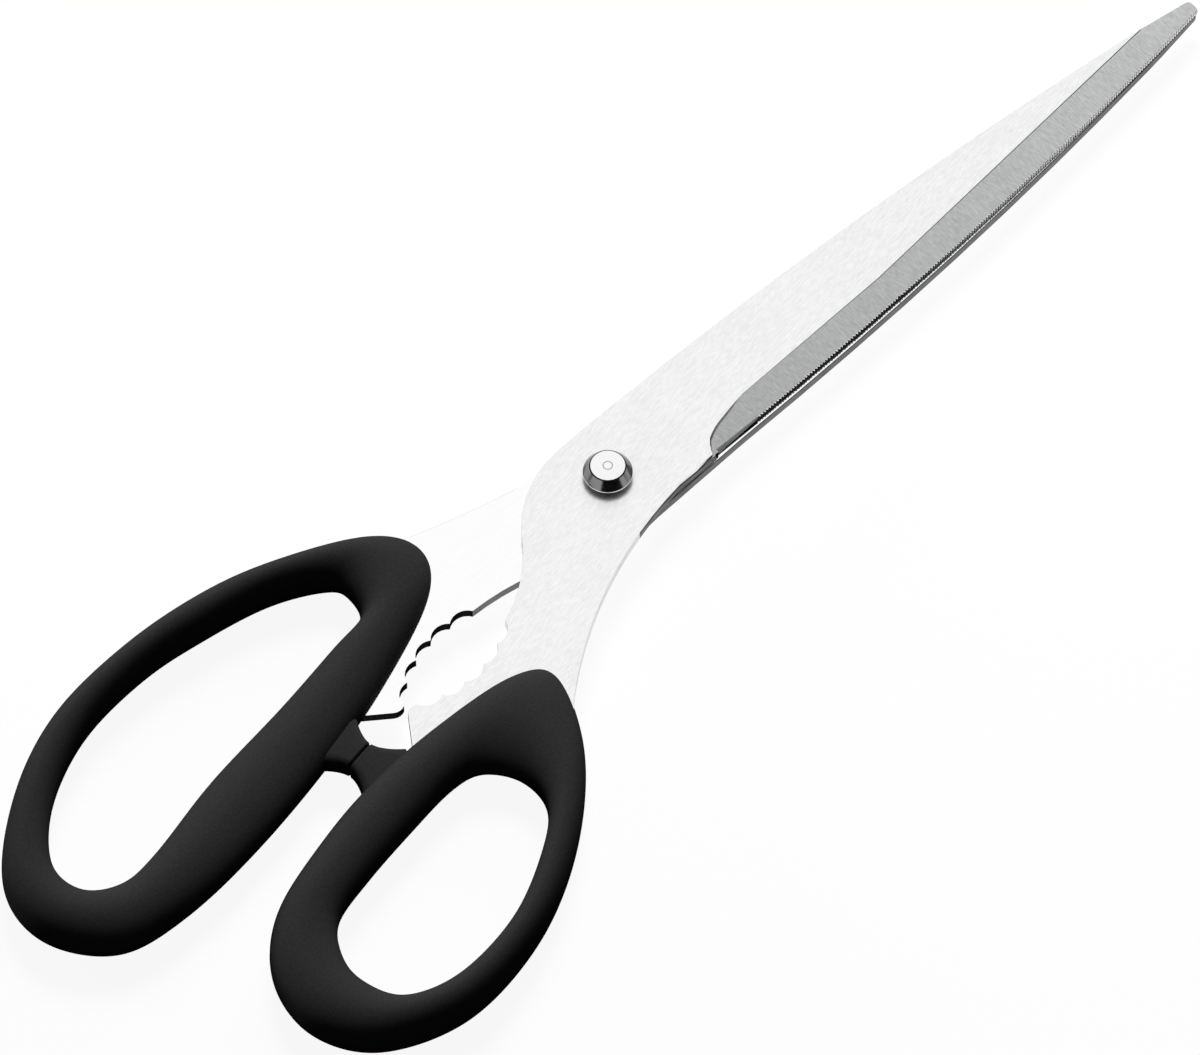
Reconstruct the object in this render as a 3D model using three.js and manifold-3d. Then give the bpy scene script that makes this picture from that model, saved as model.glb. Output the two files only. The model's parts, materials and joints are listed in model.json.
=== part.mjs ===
// Kitchen scissors: two ground steel blades on a screwed pivot, each moulded into a soft-touch bow.
// Millimetres. +X runs from the pivot to the tip, +Z is up, and the rear blade lies under the front one.
// Plan points are measured from the pivot axis with the scissors closed, which is how they rest.
import * as THREE from "three";
import { mergeVertices } from "three/addons/utils/BufferGeometryUtils.js";
import Module from "manifold-3d";

const wasm = await Module();
wasm.setup();

// Blade stock and grind
const BLADE_THICK = 1.5;
const BLADE_PLAY = 0.1;
const BEVEL_WIDTH = 3.9;
const EDGE_LAND = 0.68;
const TOOTH_PITCH = 0.5;
const TOOTH_DEPTH = 0.3;
const HOLLOW_DEPTH = 0.12;
const HOLLOW_MARGIN = 1.8;

// Blade plan: both blades share it, the rear one turned over about the X axis and with a leaner spine
const TIP_X = 113.8;
const TIP_HALF = 0.95;
const HEEL_X = 12.5;
const HEEL_Y = 7.35;
const TEETH_X = 21.7;
const TEETH_Y = 7.0;
const SPINE_X = 8;
const SPINE_Y = 7.85;
const EDGE_BULGE = 1.37;
const SPINE_BULGE = 1.72;
const REAR_SPINE_Y = 7.55;
const REAR_SPINE_BULGE = 1.9;

// Jaw between the arms, with its row of scallops
const SCALLOPS = 5;
const SCALLOP_DEPTH = 0.85;
const JAW_BULGE = 2.5;

// Bows: hard core, soft skin, and the clearance of one piece in another
const BOW_HALF_HEIGHT = 4.2;
const SKIN = 1.4;
const FIT = 0.2;
const LOCK_HOLE_R = 1.2;

// Stops where the two bows meet
const STOP_ANGLE = 9.3;
const STOP_FROM_LIP = 8.6;
const STOP_HALF_WIDTH = 2.45;
const STOP_HALF_HEIGHT = 1.85;
const STOP_LENGTH = 4.2;
const STOP_FLARE = 2.2;
const STOP_GAP = 0.3;

// Pivot
const SHANK_R = 2.5;
const SHANK_CLEARANCE = 0.08;
const HEAD_R = 3.4;
const HEAD_TOP_R = 2.38;
const HEAD_HEIGHT = 1.9;
const HEAD_RIM = 0.55;
const WASHER_R = 3.25;
const WASHER_THICK = 0.8;
const DISH_R = 3.7;
const DISH_THICK = 0.35;
const DISH_RISE = 0.35;
const SCREW_HEAD_R = 3.2;
const SCREW_HEAD_THICK = 1.4;
const SCREW_R = 1.4;
const SLOT_WIDTH = 0.9;
const SLOT_DEPTH = 0.7;

// Facets
const CHORD_ERROR = 0.02;
const RINGS = 60;
const RING_SIDES = 16;
const CORE_RINGS = 40;
const CORE_SIDES = 10;
const TURNED_SIDES = 32;
const STOP_STEPS = 6;
const STOP_SIDES = 24;

// Arm corners: x, y and the bulge of the edge that runs on from there, outward positive
const FRONT_ARM = [
  [SPINE_X, SPINE_Y, 0.05],
  [-1, 7.7, 1.75],
  [-15, 1.2, -1.0],
];
const FRONT_JAW = [
  [-26, -7.15],
  [-43.6, -8.5],
];
const FRONT_LIP = [
  [-43.6, -8.5, 0.15],
  [-45.3, -8.6, 0],
  [-48.4, -12.75, 0],
];
const FRONT_TANG = [
  [-50, -15, 0.2],
  [-58.4, -16.2, 1.2],
  [-58.4, -19.2, 0.2],
  [-44.5, -17.8, -0.5],
  [-37.5, -22, 1.2],
  [-31.5, -25, 0.4],
  [-28.2, -22.8, -3.8],
];
const REAR_ARM = [
  [HEEL_X, HEEL_Y, -0.1],
  [-6, 7.1, -0.35],
  [-26.5, 12.6, 0.4],
];
const REAR_TANG = [
  [-31.5, 13.2, 1.0],
  [-35, 8.2, -0.4],
  [-39.5, 4.2, -0.2],
  [-60.5, 0.2, 1.2],
  [-61, -2.8, 0.2],
  [-52.2, -1.8, 0],
];
const REAR_LIP = [
  [-49.4, -4.05, 0],
  [-46.05, -6.65, 0.25],
];
const REAR_JAW = [
  [-44.3, -6.75],
  [-27.4, -2.25],
];
const REAR_SHOULDER = [
  [-27.4, -2.25, -0.7],
  [-13, -5.3, 1.0],
  [-4.5, -8.6, 0.05],
];
const FRONT_LOCK = [-53.5, -17.2];
const REAR_LOCK = [-54.5, -0.9];

// Bow stations: a point on the hole's edge, then the point across from it on the rim
const FINGER_BOW = [
  [-38, 11.5, -26, 9.5],
  [-39.5, 14.5, -30, 15.5],
  [-46, 18, -42.5, 21.5],
  [-56, 20, -53, 24.5],
  [-66, 21, -66, 25.5],
  [-78, 19.5, -80, 24],
  [-88.5, 14.5, -92, 18.5],
  [-95, 7.5, -102, 9.5],
  [-95, 1.5, -103.5, 0],
  [-90.5, -1.5, -97.5, -8.5],
  [-84, -1, -87, -10.5],
  [-71.5, 2, -73.5, -9.5],
  [-57, 4, -58, -6.5],
  [-45.5, 6, -44, -2.4],
  [-39.5, 7, -30, 3.6],
];
const THUMB_BOW = [
  [-41, -26, -26.5, -18],
  [-44, -21.5, -31, -13.8],
  [-48.5, -20.5, -44, -12.6],
  [-56.5, -21.5, -56, -13],
  [-65.5, -23, -67, -15],
  [-73, -25, -79, -19],
  [-76.5, -29, -86, -26],
  [-77.5, -34, -87.5, -35],
  [-75, -40, -82.5, -43],
  [-67.5, -42.5, -70.5, -47.5],
  [-56.5, -41, -56, -45.5],
  [-46.5, -36, -43, -39],
  [-41.5, -31.5, -32, -29],
];

// Levels, with zero midway between the blades
const INNER_FACE = BLADE_PLAY / 2;
const OUTER_FACE = INNER_FACE + BLADE_THICK;

// A three.js geometry as a solid for cutting and joining
function solidOf(geometry) {
  const flat = geometry.index ? geometry.toNonIndexed() : geometry;
  const bare = new THREE.BufferGeometry();
  bare.setAttribute("position", flat.getAttribute("position"));
  const merged = mergeVertices(bare, 1e-4);
  const mesh = new wasm.Mesh({
    numProp: 3,
    vertProperties: new Float32Array(merged.attributes.position.array),
    triVerts: new Uint32Array(merged.index.array),
  });
  return new wasm.Manifold(mesh);
}

// A solid back as flat-shaded three.js geometry
function geometryOf(solid) {
  const mesh = solid.getMesh();
  const geometry = new THREE.BufferGeometry();
  geometry.setAttribute("position", new THREE.BufferAttribute(mesh.vertProperties, 3));
  geometry.setIndex(new THREE.BufferAttribute(mesh.triVerts, 1));
  const flat = geometry.toNonIndexed();
  flat.computeVertexNormals();
  return flat;
}

// The centre and frame of the arc between two points, from its bulge to the right of travel
function arcFrame(a, b, bulge) {
  const from = new THREE.Vector2(...a);
  const to = new THREE.Vector2(...b);
  const chord = to.clone().sub(from);
  const length = chord.length();
  const along = chord.normalize();
  const side = Math.sign(bulge) || 1;
  const right = new THREE.Vector2(along.y, -along.x).multiplyScalar(side);
  const rise = Math.abs(bulge);
  const radius = (length * length / 4 + rise * rise) / (2 * rise);
  const half = 2 * Math.atan2(2 * rise, length);
  const middle = from.clone().add(to).multiplyScalar(0.5);
  const centre = middle.addScaledVector(right, rise - radius);
  const at = (angle, inward = 0) =>
    centre.clone()
      .addScaledVector(along, (radius - inward) * Math.sin(angle))
      .addScaledVector(right, (radius - inward) * Math.cos(angle));
  return { half, at };
}

// Points along one edge, without its last point
function edgePoints(a, b, bulge) {
  if (!bulge) return [a];
  const count = Math.max(2, Math.ceil(Math.sqrt(Math.abs(bulge) / CHORD_ERROR)));
  const { half, at } = arcFrame(a, b, bulge);
  return Array.from({ length: count }, (_, i) => at(half * (2 * i / count - 1)).toArray());
}

// Points along a chain of corners, each with the bulge of the edge that follows it
function chainPoints(rows, end) {
  const corners = rows.map(([x, y]) => [x, y]).concat([end]);
  return rows.flatMap((row, i) => edgePoints(corners[i], corners[i + 1], row[2]));
}

// Scallops along an arc, with a cusp at both ends of each
function scallopPoints([a, b]) {
  const { half, at } = arcFrame(a, b, -JAW_BULGE);
  const cusps = Array.from({ length: SCALLOPS + 1 }, (_, i) => at(half * (2 * i / SCALLOPS - 1)).toArray());
  return cusps.slice(0, -1).flatMap((cusp, i) => edgePoints(cusp, cusps[i + 1], -SCALLOP_DEPTH));
}

// Ground edge from the heel to the tip, then the spine back to the shoulder
const EDGE_FROM = [TEETH_X, -TEETH_Y];
const EDGE_TO = [TIP_X, -TIP_HALF];
function bladePlan(toothed, spineY, spineBulge) {
  const { half, at } = arcFrame(EDGE_FROM, EDGE_TO, EDGE_BULGE);
  const teeth = Math.floor((TIP_X - TEETH_X) / TOOTH_PITCH);
  const edge = [];
  for (let i = 0; i < teeth; i++) {
    edge.push(at(half * (2 * i / teeth - 1)).toArray());
    edge.push(at(half * ((2 * i + 1) / teeth - 1), TOOTH_DEPTH).toArray());
  }
  const tip = [
    [TIP_X, -TIP_HALF, 0.08],
    [TIP_X + 0.05, TIP_HALF * 0.5, 0.12],
    [TIP_X - 0.6, TIP_HALF * 1.05, spineBulge],
  ];
  return [
    [HEEL_X, -HEEL_Y],
    ...(toothed ? edge : edgePoints(EDGE_FROM, EDGE_TO, EDGE_BULGE)),
    ...chainPoints(tip, [SPINE_X, spineY]),
  ];
}
const turnedOver = (points) => points.map(([x, y]) => [x, -y]).reverse();

function frontPlan(toothed) {
  return [
    ...bladePlan(toothed, SPINE_Y, SPINE_BULGE),
    ...chainPoints(FRONT_ARM, FRONT_JAW[0]),
    ...scallopPoints(FRONT_JAW),
    ...chainPoints([...FRONT_LIP, ...FRONT_TANG], [HEEL_X, -HEEL_Y]),
  ];
}

function rearPlan() {
  return [
    ...turnedOver(bladePlan(false, REAR_SPINE_Y, REAR_SPINE_BULGE)),
    ...chainPoints([...REAR_ARM, ...REAR_TANG, ...REAR_LIP], REAR_JAW[0]),
    ...scallopPoints(REAR_JAW),
    ...chainPoints(REAR_SHOULDER, [SPINE_X, -REAR_SPINE_Y]),
  ];
}

// A plan moved out along its own normals, to cut the pocket that it sits in
function grownPlan(points, by) {
  const corner = points.map((p) => new THREE.Vector2(...p));
  return corner.map((p, i) => {
    const before = corner.at(i - 1);
    const after = corner[(i + 1) % corner.length];
    const inEdge = p.clone().sub(before).normalize();
    const outEdge = after.clone().sub(p).normalize();
    const bisector = inEdge.clone().add(outEdge).normalize();
    const stretch = Math.min(2, 1 / Math.max(0.5, inEdge.dot(bisector)));
    return [p.x + bisector.y * by * stretch, p.y - bisector.x * by * stretch];
  });
}

// A plate of the given plan and round holes between two levels
function plate(points, holes, from, to) {
  const shape = new THREE.Shape(points.map(([x, y]) => new THREE.Vector2(x, y)));
  for (const [x, y, radius, sides] of holes) {
    const ring = Array.from({ length: sides }, (_, i) => {
      const angle = -2 * Math.PI * i / sides;
      return new THREE.Vector2(x + radius * Math.cos(angle), y + radius * Math.sin(angle));
    });
    shape.holes.push(new THREE.Path(ring));
  }
  const geometry = new THREE.ExtrudeGeometry(shape, { depth: to - from, bevelEnabled: false });
  return solidOf(geometry.translate(0, 0, from));
}

// A skin over rings of points, joined end to end or capped with fans
function loft(rings, closed) {
  const sides = rings[0].length;
  const position = rings.flat().flatMap((p) => p.toArray());
  const index = [];
  const last = closed ? rings.length : rings.length - 1;
  for (let i = 0; i < last; i++) {
    const next = (i + 1) % rings.length;
    for (let k = 0; k < sides; k++) {
      const side = (k + 1) % sides;
      index.push(i * sides + k, next * sides + k, next * sides + side);
      index.push(i * sides + k, next * sides + side, i * sides + side);
    }
  }
  const end = (rings.length - 1) * sides;
  for (let k = 1; k + 1 < sides && !closed; k++) {
    index.push(0, k, k + 1);
    index.push(end, end + k + 1, end + k);
  }
  const geometry = new THREE.BufferGeometry();
  geometry.setAttribute("position", new THREE.Float32BufferAttribute(position, 3));
  geometry.setIndex(index);
  return solidOf(geometry);
}

// The stock that grinding takes off the front blade's outer face
function grindStock() {
  const { half, at } = arcFrame(EDGE_FROM, EDGE_TO, EDGE_BULGE);
  const slope = (BLADE_THICK - EDGE_LAND) / BEVEL_WIDTH;
  const inside = BEVEL_WIDTH + 2;
  const outside = 1.2;
  const edgeLevel = INNER_FACE + EDGE_LAND;
  const crest = edgeLevel + slope * inside;
  const rings = Array.from({ length: 25 }, (_, i) => {
    const angle = half * (-1.35 + 2.55 * i / 24);
    const inner = at(angle, inside);
    const outer = at(angle, -outside);
    return [
      new THREE.Vector3(inner.x, inner.y, crest),
      new THREE.Vector3(outer.x, outer.y, edgeLevel - slope * outside),
      new THREE.Vector3(outer.x, outer.y, crest + 0.4),
    ];
  });
  // The wheel leaves a rounded end at the heel
  const reach = TIP_X + 6;
  const wheel = [
    [HEEL_X, -14, 0],
    [reach, -14, 0],
    [reach, 14, 0],
    [HEEL_X + 13, 14, 0],
    [HEEL_X + 13, -HEEL_Y + 4.65, 0.13],
    [HEEL_X + 4.5, -HEEL_Y + 3.22, 0.1],
    [HEEL_X + 1.8, -HEEL_Y + 2.15, 0.13],
    [HEEL_X, -HEEL_Y - 0.35, 0],
  ];
  const zone = plate(chainPoints(wheel, wheel[0].slice(0, 2)), [], INNER_FACE - 3, OUTER_FACE + 3);
  return loft(rings, false).intersect(zone);
}

// The shallow hollow on the inner face, which leaves the edge and the spine to touch
function hollowStock() {
  const length = TIP_X - 8 - (HEEL_X + 10);
  const inset = HOLLOW_MARGIN;
  const rows = [
    [HEEL_X + 10, -TEETH_Y + inset, EDGE_BULGE * 0.8],
    [HEEL_X + 10 + length, -TIP_HALF - 0.55 + inset * 0.6, 0.3],
    [HEEL_X + 10 + length, TIP_HALF + 0.2 - inset * 0.4, SPINE_BULGE * 0.8],
    [HEEL_X + 10, SPINE_Y - 0.3 - inset, 2],
  ];
  const plan = chainPoints(rows, rows[0].slice(0, 2));
  return plate(plan, [], INNER_FACE - 1, INNER_FACE + HOLLOW_DEPTH);
}

const PIVOT_HOLE = [0, 0, SHANK_R + SHANK_CLEARANCE, TURNED_SIDES];
const grind = grindStock();
const hollow = hollowStock();
const turnOver = (solid) => solidOf(geometryOf(solid).rotateX(Math.PI));
const frontLock = [...FRONT_LOCK, LOCK_HOLE_R, 16];
const rearLock = [...REAR_LOCK, LOCK_HOLE_R, 16];
const frontBlade = plate(frontPlan(true), [PIVOT_HOLE, frontLock], INNER_FACE, OUTER_FACE)
  .subtract(grind)
  .subtract(hollow);
const rearBlade = plate(rearPlan(), [PIVOT_HOLE, rearLock], -OUTER_FACE, -INNER_FACE)
  .subtract(turnOver(grind))
  .subtract(turnOver(hollow));

// Pockets in the bows for the tangs, with a peg left in each locking hole
const frontPeg = [...FRONT_LOCK, LOCK_HOLE_R - FIT, 12];
const rearPeg = [...REAR_LOCK, LOCK_HOLE_R - FIT, 12];
const frontPocket = plate(grownPlan(frontPlan(false), FIT), [frontPeg], INNER_FACE - FIT, OUTER_FACE + FIT);
const rearPocket = plate(grownPlan(rearPlan(), FIT), [rearPeg], -OUTER_FACE - FIT, -INNER_FACE + FIT);

// One ring of a bow, drawn in from its surface by the inset
function bowRing(stations, inset, rings, sides) {
  const track = (column) =>
    new THREE.CatmullRomCurve3(
      stations.map((s) => new THREE.Vector3(s[column], s[column + 1], 0)),
      true,
      "catmullrom",
      0.5,
    );
  const hole = track(0);
  const rim = track(2);
  const height = BOW_HALF_HEIGHT - inset;
  const sections = Array.from({ length: rings }, (_, i) => {
    const inner = hole.getPoint(i / rings);
    const outer = rim.getPoint(i / rings);
    const centre = inner.clone().add(outer).multiplyScalar(0.5);
    const across = outer.sub(centre);
    across.setLength(across.length() - inset);
    return Array.from({ length: sides }, (_, k) => {
      const angle = 2 * Math.PI * k / sides;
      const point = centre.clone().addScaledVector(across, Math.cos(angle));
      point.z = height * Math.sin(angle);
      return point;
    });
  });
  return loft(sections, true);
}

// A flat-topped stop that flares into its bow, square to the line on which the two stops meet
const lip = REAR_LIP.at(-1);
const stopReach = Math.hypot(lip[0], lip[1]) + STOP_FROM_LIP;
const squarish = (value) => Math.sign(value) * Math.sqrt(Math.abs(value));
function stopStub(towards) {
  const angle = THREE.MathUtils.degToRad(STOP_ANGLE);
  const across = new THREE.Vector3(Math.cos(angle), Math.sin(angle), 0);
  const along = new THREE.Vector3(-across.y, across.x, 0).multiplyScalar(towards);
  const ring = (level, halfWidth, halfHeight) =>
    Array.from({ length: STOP_SIDES }, (_, k) => {
      const turn = towards * 2 * Math.PI * k / STOP_SIDES;
      const point = across.clone().multiplyScalar(halfWidth * squarish(Math.cos(turn)) - stopReach);
      point.addScaledVector(along, level);
      point.z = halfHeight * squarish(Math.sin(turn));
      return point;
    });
  const rim = 0.15;
  const face = STOP_GAP / 2;
  const rings = [ring(face, STOP_HALF_WIDTH - rim, STOP_HALF_HEIGHT - rim)];
  for (let i = 0; i <= STOP_STEPS; i++) {
    const share = i / STOP_STEPS;
    const level = face + rim + (STOP_LENGTH - face - rim) * share;
    rings.push(ring(level, STOP_HALF_WIDTH + STOP_FLARE * share ** 1.6, STOP_HALF_HEIGHT));
  }
  rings.push(ring(STOP_LENGTH + 2.6, STOP_HALF_WIDTH + STOP_FLARE * 0.4, STOP_HALF_HEIGHT));
  return loft(rings, false);
}

function grip(stations, stub, pocket) {
  return bowRing(stations, 0, RINGS, RING_SIDES)
    .add(stub)
    .subtract(bowRing(stations, SKIN - FIT, CORE_RINGS, CORE_SIDES))
    .subtract(pocket);
}
const core = (stations, pocket) => bowRing(stations, SKIN, CORE_RINGS, CORE_SIDES).subtract(pocket);

const fingerGrip = grip(FINGER_BOW, stopStub(1), rearPocket);
const thumbGrip = grip(THUMB_BOW, stopStub(-1), frontPocket);
const fingerCore = core(FINGER_BOW, rearPocket);
const thumbCore = core(THUMB_BOW, frontPocket);

// Turned pivot pieces: each profile runs round the section from the axis or from the bore
function turned(profile) {
  const geometry = new THREE.LatheGeometry(profile.map(([r, h]) => new THREE.Vector2(r, h)), TURNED_SIDES);
  return solidOf(geometry.rotateX(Math.PI / 2));
}

const WASHER_BORE = SHANK_R + SHANK_CLEARANCE;
const washerTop = OUTER_FACE + WASHER_THICK;
const frontWasher = turned([
  [WASHER_BORE, OUTER_FACE],
  [WASHER_R, OUTER_FACE],
  [WASHER_R, washerTop - 0.2],
  [WASHER_R - 0.2, washerTop],
  [WASHER_BORE, washerTop],
  [WASHER_BORE, OUTER_FACE],
]);

const headTop = washerTop + HEAD_HEIGHT;
const dishFoot = -OUTER_FACE - DISH_RISE;
const shankEnd = dishFoot;
const BORE_R = SCREW_R + SHANK_CLEARANCE;
const boreEnd = washerTop + HEAD_HEIGHT * 0.3;
const pivotBarrel = turned([
  [BORE_R, shankEnd],
  [SHANK_R, shankEnd],
  [SHANK_R, washerTop],
  [HEAD_R, washerTop],
  [HEAD_R, washerTop + HEAD_RIM],
  [HEAD_R - 0.2, washerTop + HEAD_RIM + 0.35],
  [HEAD_TOP_R + 0.18, headTop - 0.1],
  [HEAD_TOP_R, headTop],
  [HEAD_TOP_R * 0.28, headTop],
  [HEAD_TOP_R * 0.22, headTop - 0.12],
  [0, headTop - 0.12],
  [0, boreEnd + BORE_R * 0.6],
  [BORE_R, boreEnd],
  [BORE_R, shankEnd],
]);

const springWasher = turned([
  [WASHER_BORE, dishFoot - DISH_THICK],
  [DISH_R, -OUTER_FACE - DISH_THICK],
  [DISH_R, -OUTER_FACE],
  [WASHER_BORE, dishFoot],
  [WASHER_BORE, dishFoot - DISH_THICK],
]);

const screwSeat = dishFoot - DISH_THICK;
const screwFoot = screwSeat - SCREW_HEAD_THICK;
const screwTip = boreEnd - 0.6;
const slot = new THREE.BoxGeometry(3 * SCREW_HEAD_R, SLOT_WIDTH, 2 * SLOT_DEPTH);
const pivotScrew = turned([
  [0, screwFoot],
  [SCREW_HEAD_R - 0.5, screwFoot],
  [SCREW_HEAD_R, screwFoot + 0.5],
  [SCREW_HEAD_R, screwSeat],
  [SCREW_R, screwSeat],
  [SCREW_R, screwTip - 0.4],
  [SCREW_R - 0.4, screwTip],
  [0, screwTip],
]).subtract(solidOf(slot.translate(0, 0, screwFoot)));

// Materials
const brushedSteel = new THREE.MeshStandardMaterial({ color: 0xd9dadb, roughness: 0.32, metalness: 1 });
const polishedSteel = new THREE.MeshStandardMaterial({ color: 0xc9cacc, roughness: 0.14, metalness: 1 });
const springSteel = new THREE.MeshStandardMaterial({ color: 0x9a9c9f, roughness: 0.3, metalness: 1 });
const softTouch = new THREE.MeshStandardMaterial({ color: 0x1b1b1c, roughness: 0.72, metalness: 0 });
const hardCore = new THREE.MeshStandardMaterial({ color: 0x101011, roughness: 0.5, metalness: 0 });

function named(name, solid, material) {
  const mesh = new THREE.Mesh(geometryOf(solid), material);
  mesh.name = name;
  return mesh;
}

// The rear half stays put and carries the pivot; the front half turns about it
const rearHalf = new THREE.Group();
rearHalf.add(
  named("rear_blade", rearBlade, brushedSteel),
  named("finger_core", fingerCore, hardCore),
  named("finger_grip", fingerGrip, softTouch),
  named("pivot_barrel", pivotBarrel, polishedSteel),
  named("pivot_screw", pivotScrew, polishedSteel),
  named("front_washer", frontWasher, polishedSteel),
  named("spring_washer", springWasher, springSteel),
);
const frontHalf = new THREE.Group();
frontHalf.add(
  named("front_blade", frontBlade, brushedSteel),
  named("thumb_core", thumbCore, hardCore),
  named("thumb_grip", thumbGrip, softTouch),
);

// The origin lies under the middle of the closed scissors, on the table that the bows rest on
const assembly = new THREE.Group();
assembly.add(rearHalf, frontHalf);
const bounds = new THREE.Box3().setFromObject(assembly);
const middle = bounds.getCenter(new THREE.Vector3());
assembly.position.set(-middle.x, -middle.y, -bounds.min.z);
const scissors = new THREE.Group();
scissors.add(assembly);

export default scissors;
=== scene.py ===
# Kitchen scissors: the looks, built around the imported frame
# Lengths are in metres, except where a name or a note says millimetres
# Plan points are measured from the pivot axis with the pair closed, +X towards the tip
import json
import math

import bmesh
import bpy
from mathutils import Matrix, Vector


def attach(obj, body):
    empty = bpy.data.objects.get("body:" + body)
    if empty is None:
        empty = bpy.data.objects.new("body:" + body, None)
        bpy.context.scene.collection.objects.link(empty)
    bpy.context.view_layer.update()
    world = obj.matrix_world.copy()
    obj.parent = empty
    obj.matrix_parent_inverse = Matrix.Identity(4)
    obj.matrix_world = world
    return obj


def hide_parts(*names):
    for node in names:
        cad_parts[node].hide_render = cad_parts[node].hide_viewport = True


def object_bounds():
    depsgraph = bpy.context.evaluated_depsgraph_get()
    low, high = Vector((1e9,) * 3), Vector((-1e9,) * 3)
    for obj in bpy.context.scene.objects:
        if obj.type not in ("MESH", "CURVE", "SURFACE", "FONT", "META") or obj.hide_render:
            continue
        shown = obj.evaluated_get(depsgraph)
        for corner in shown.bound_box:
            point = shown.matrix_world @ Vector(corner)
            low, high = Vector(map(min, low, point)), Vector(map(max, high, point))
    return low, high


MM = 0.001

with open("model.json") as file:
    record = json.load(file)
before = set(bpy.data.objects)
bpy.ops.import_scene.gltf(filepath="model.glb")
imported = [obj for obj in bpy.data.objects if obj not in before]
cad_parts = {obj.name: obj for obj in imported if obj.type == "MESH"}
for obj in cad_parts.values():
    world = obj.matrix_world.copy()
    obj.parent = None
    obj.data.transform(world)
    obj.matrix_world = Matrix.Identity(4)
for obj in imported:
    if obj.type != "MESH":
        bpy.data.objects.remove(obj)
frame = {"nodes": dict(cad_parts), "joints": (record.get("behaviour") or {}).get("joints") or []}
cad_low, cad_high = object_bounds()
PIVOT = Vector(frame["joints"][0]["pos_m"])
UP = Vector((0, 0, 1))

# Bow stations in millimetres: a point on the hole's edge, then the point across from it on the rim
FINGER_BOW = (
    (-38, 11.5, -26, 9.5),
    (-39.5, 14.5, -30, 15.5),
    (-46, 18, -42.5, 21.5),
    (-56, 20, -53, 24.5),
    (-66, 21, -66, 25.5),
    (-78, 19.5, -80, 24),
    (-88.5, 14.5, -92, 18.5),
    (-95, 7.5, -102, 9.5),
    (-95, 1.5, -103.5, 0),
    (-90.5, -1.5, -97.5, -8.5),
    (-84, -1, -87, -10.5),
    (-71.5, 2, -73.5, -9.5),
    (-57, 4, -58, -6.5),
    (-45.5, 6, -44, -2.4),
    (-39.5, 7, -30, 3.6),
)
THUMB_BOW = (
    (-41, -26, -26.5, -18),
    (-44, -21.5, -31, -13.8),
    (-48.5, -20.5, -44, -12.6),
    (-56.5, -21.5, -56, -13),
    (-65.5, -23, -67, -15),
    (-73, -25, -79, -19),
    (-76.5, -29, -86, -26),
    (-77.5, -34, -87.5, -35),
    (-75, -40, -82.5, -43),
    (-67.5, -42.5, -70.5, -47.5),
    (-56.5, -41, -56, -45.5),
    (-46.5, -36, -43, -39),
    (-41.5, -31.5, -32, -29),
)
BOW_HALF_HEIGHT = 4.2 * MM
BOW_RINGS = 66
RING_SIDES = 16
BOW_SMOOTHING = 2

# Stops where the bows meet, in millimetres: a flat-topped neck that flares into each bow
STOP_ANGLE = math.radians(9.3)
STOP_REACH = 55.13
STOP_HALF_WIDTH = 2.45
STOP_HALF_HEIGHT = 1.85
STOP_CORNER = 1.0
STOP_LENGTH = 4.2
STOP_FLARE = 2.2
FLARE_POWER = 1.6
ROOT_FLARE_SHARE = 0.4
STOP_GAP = 0.3
STOP_RIM = 0.15
STOP_ROOT = 2.6
STOP_STEPS = 10

# Pivot profiles, in millimetres: radius and level, with level zero between the blades
TURNED_SIDES = 96
BLADE_OUTER = 1.55
BARREL = (
    (2.5, -1.9),
    (2.5, 2.35),
    (3.25, 2.35),
    (3.4, 2.55),
    (3.4, 2.8),
    (3.26, 2.98),
    (2.53, 4.16),
    (2.37, 4.25),
    (0.7, 4.25),
    (0.64, 4.22),
    (0.58, 4.25),
)
CENTRE_MARK = (0.56, 0.72)
HEAD_BREAK = (2.34, 2.55)
FRONT_WASHER = (
    (2.58, 1.55),
    (3.25, 1.55),
    (3.25, 2.35),
    (2.58, 2.35),
    (2.58, 1.55),
)
SPRING_WASHER = (
    (2.58, -2.25),
    (3.7, -1.9),
    (3.7, -1.55),
    (2.58, -1.9),
    (2.58, -2.25),
)
SCREW = (
    (1.4, 2.0),
    (1.4, -2.25),
    (3.2, -2.25),
    (3.2, -3.15),
    (2.7, -3.65),
)
SLOT_WIDTH = 0.9
SLOT_DEPTH = 0.7

# Edges: widths of the rounded and broken ones on the blades and on turned pieces
BLADE_ROUND = 0.2 * MM
REAR_ROUND = 0.08 * MM
REAR_BREAK = 0.1 * MM
HEEL_BREAK = 0.06 * MM
BORDER_WIDTH = 0.07 * MM
GLINT_FACET = 0.15 * MM
TURNED_ROUND = 0.06 * MM
TURNED_CORNER = math.radians(12)
SMOOTH_ANGLE = math.radians(35)

# Teeth: how far the grooves' roots lean out, and the shortest edge that a facet for a painted glint is
# left on
ROOT_LEAN = 0.27 * MM
SHORT_EDGE = 0.3 * MM

# Camera, as the picture was taken
PICTURE_UP = Vector((0.6918, 0.7221, 0))
PICTURE_RIGHT = Vector((0.7221, -0.6918, 0))
VIEW_TILT = math.radians(32.3)
AIM = PIVOT + Vector((-6.48 * MM, -5.24 * MM, BLADE_OUTER * MM))
CAMERA_DISTANCE = 1.316
LENS_MM = 291.5
SENSOR_MM = 36
CLIP_NEAR = 0.05
CLIP_FAR = 50
TOWARDS_CAMERA = UP * math.cos(VIEW_TILT) - PICTURE_UP * math.sin(VIEW_TILT)


# Selection and editing
def clear_selection():
    if bpy.context.object and bpy.context.object.mode != "OBJECT":
        bpy.ops.object.mode_set(mode="OBJECT")
    bpy.ops.object.select_all(action="DESELECT")


def pick(piece):
    clear_selection()
    piece.select_set(True)
    bpy.context.view_layer.objects.active = piece


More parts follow.
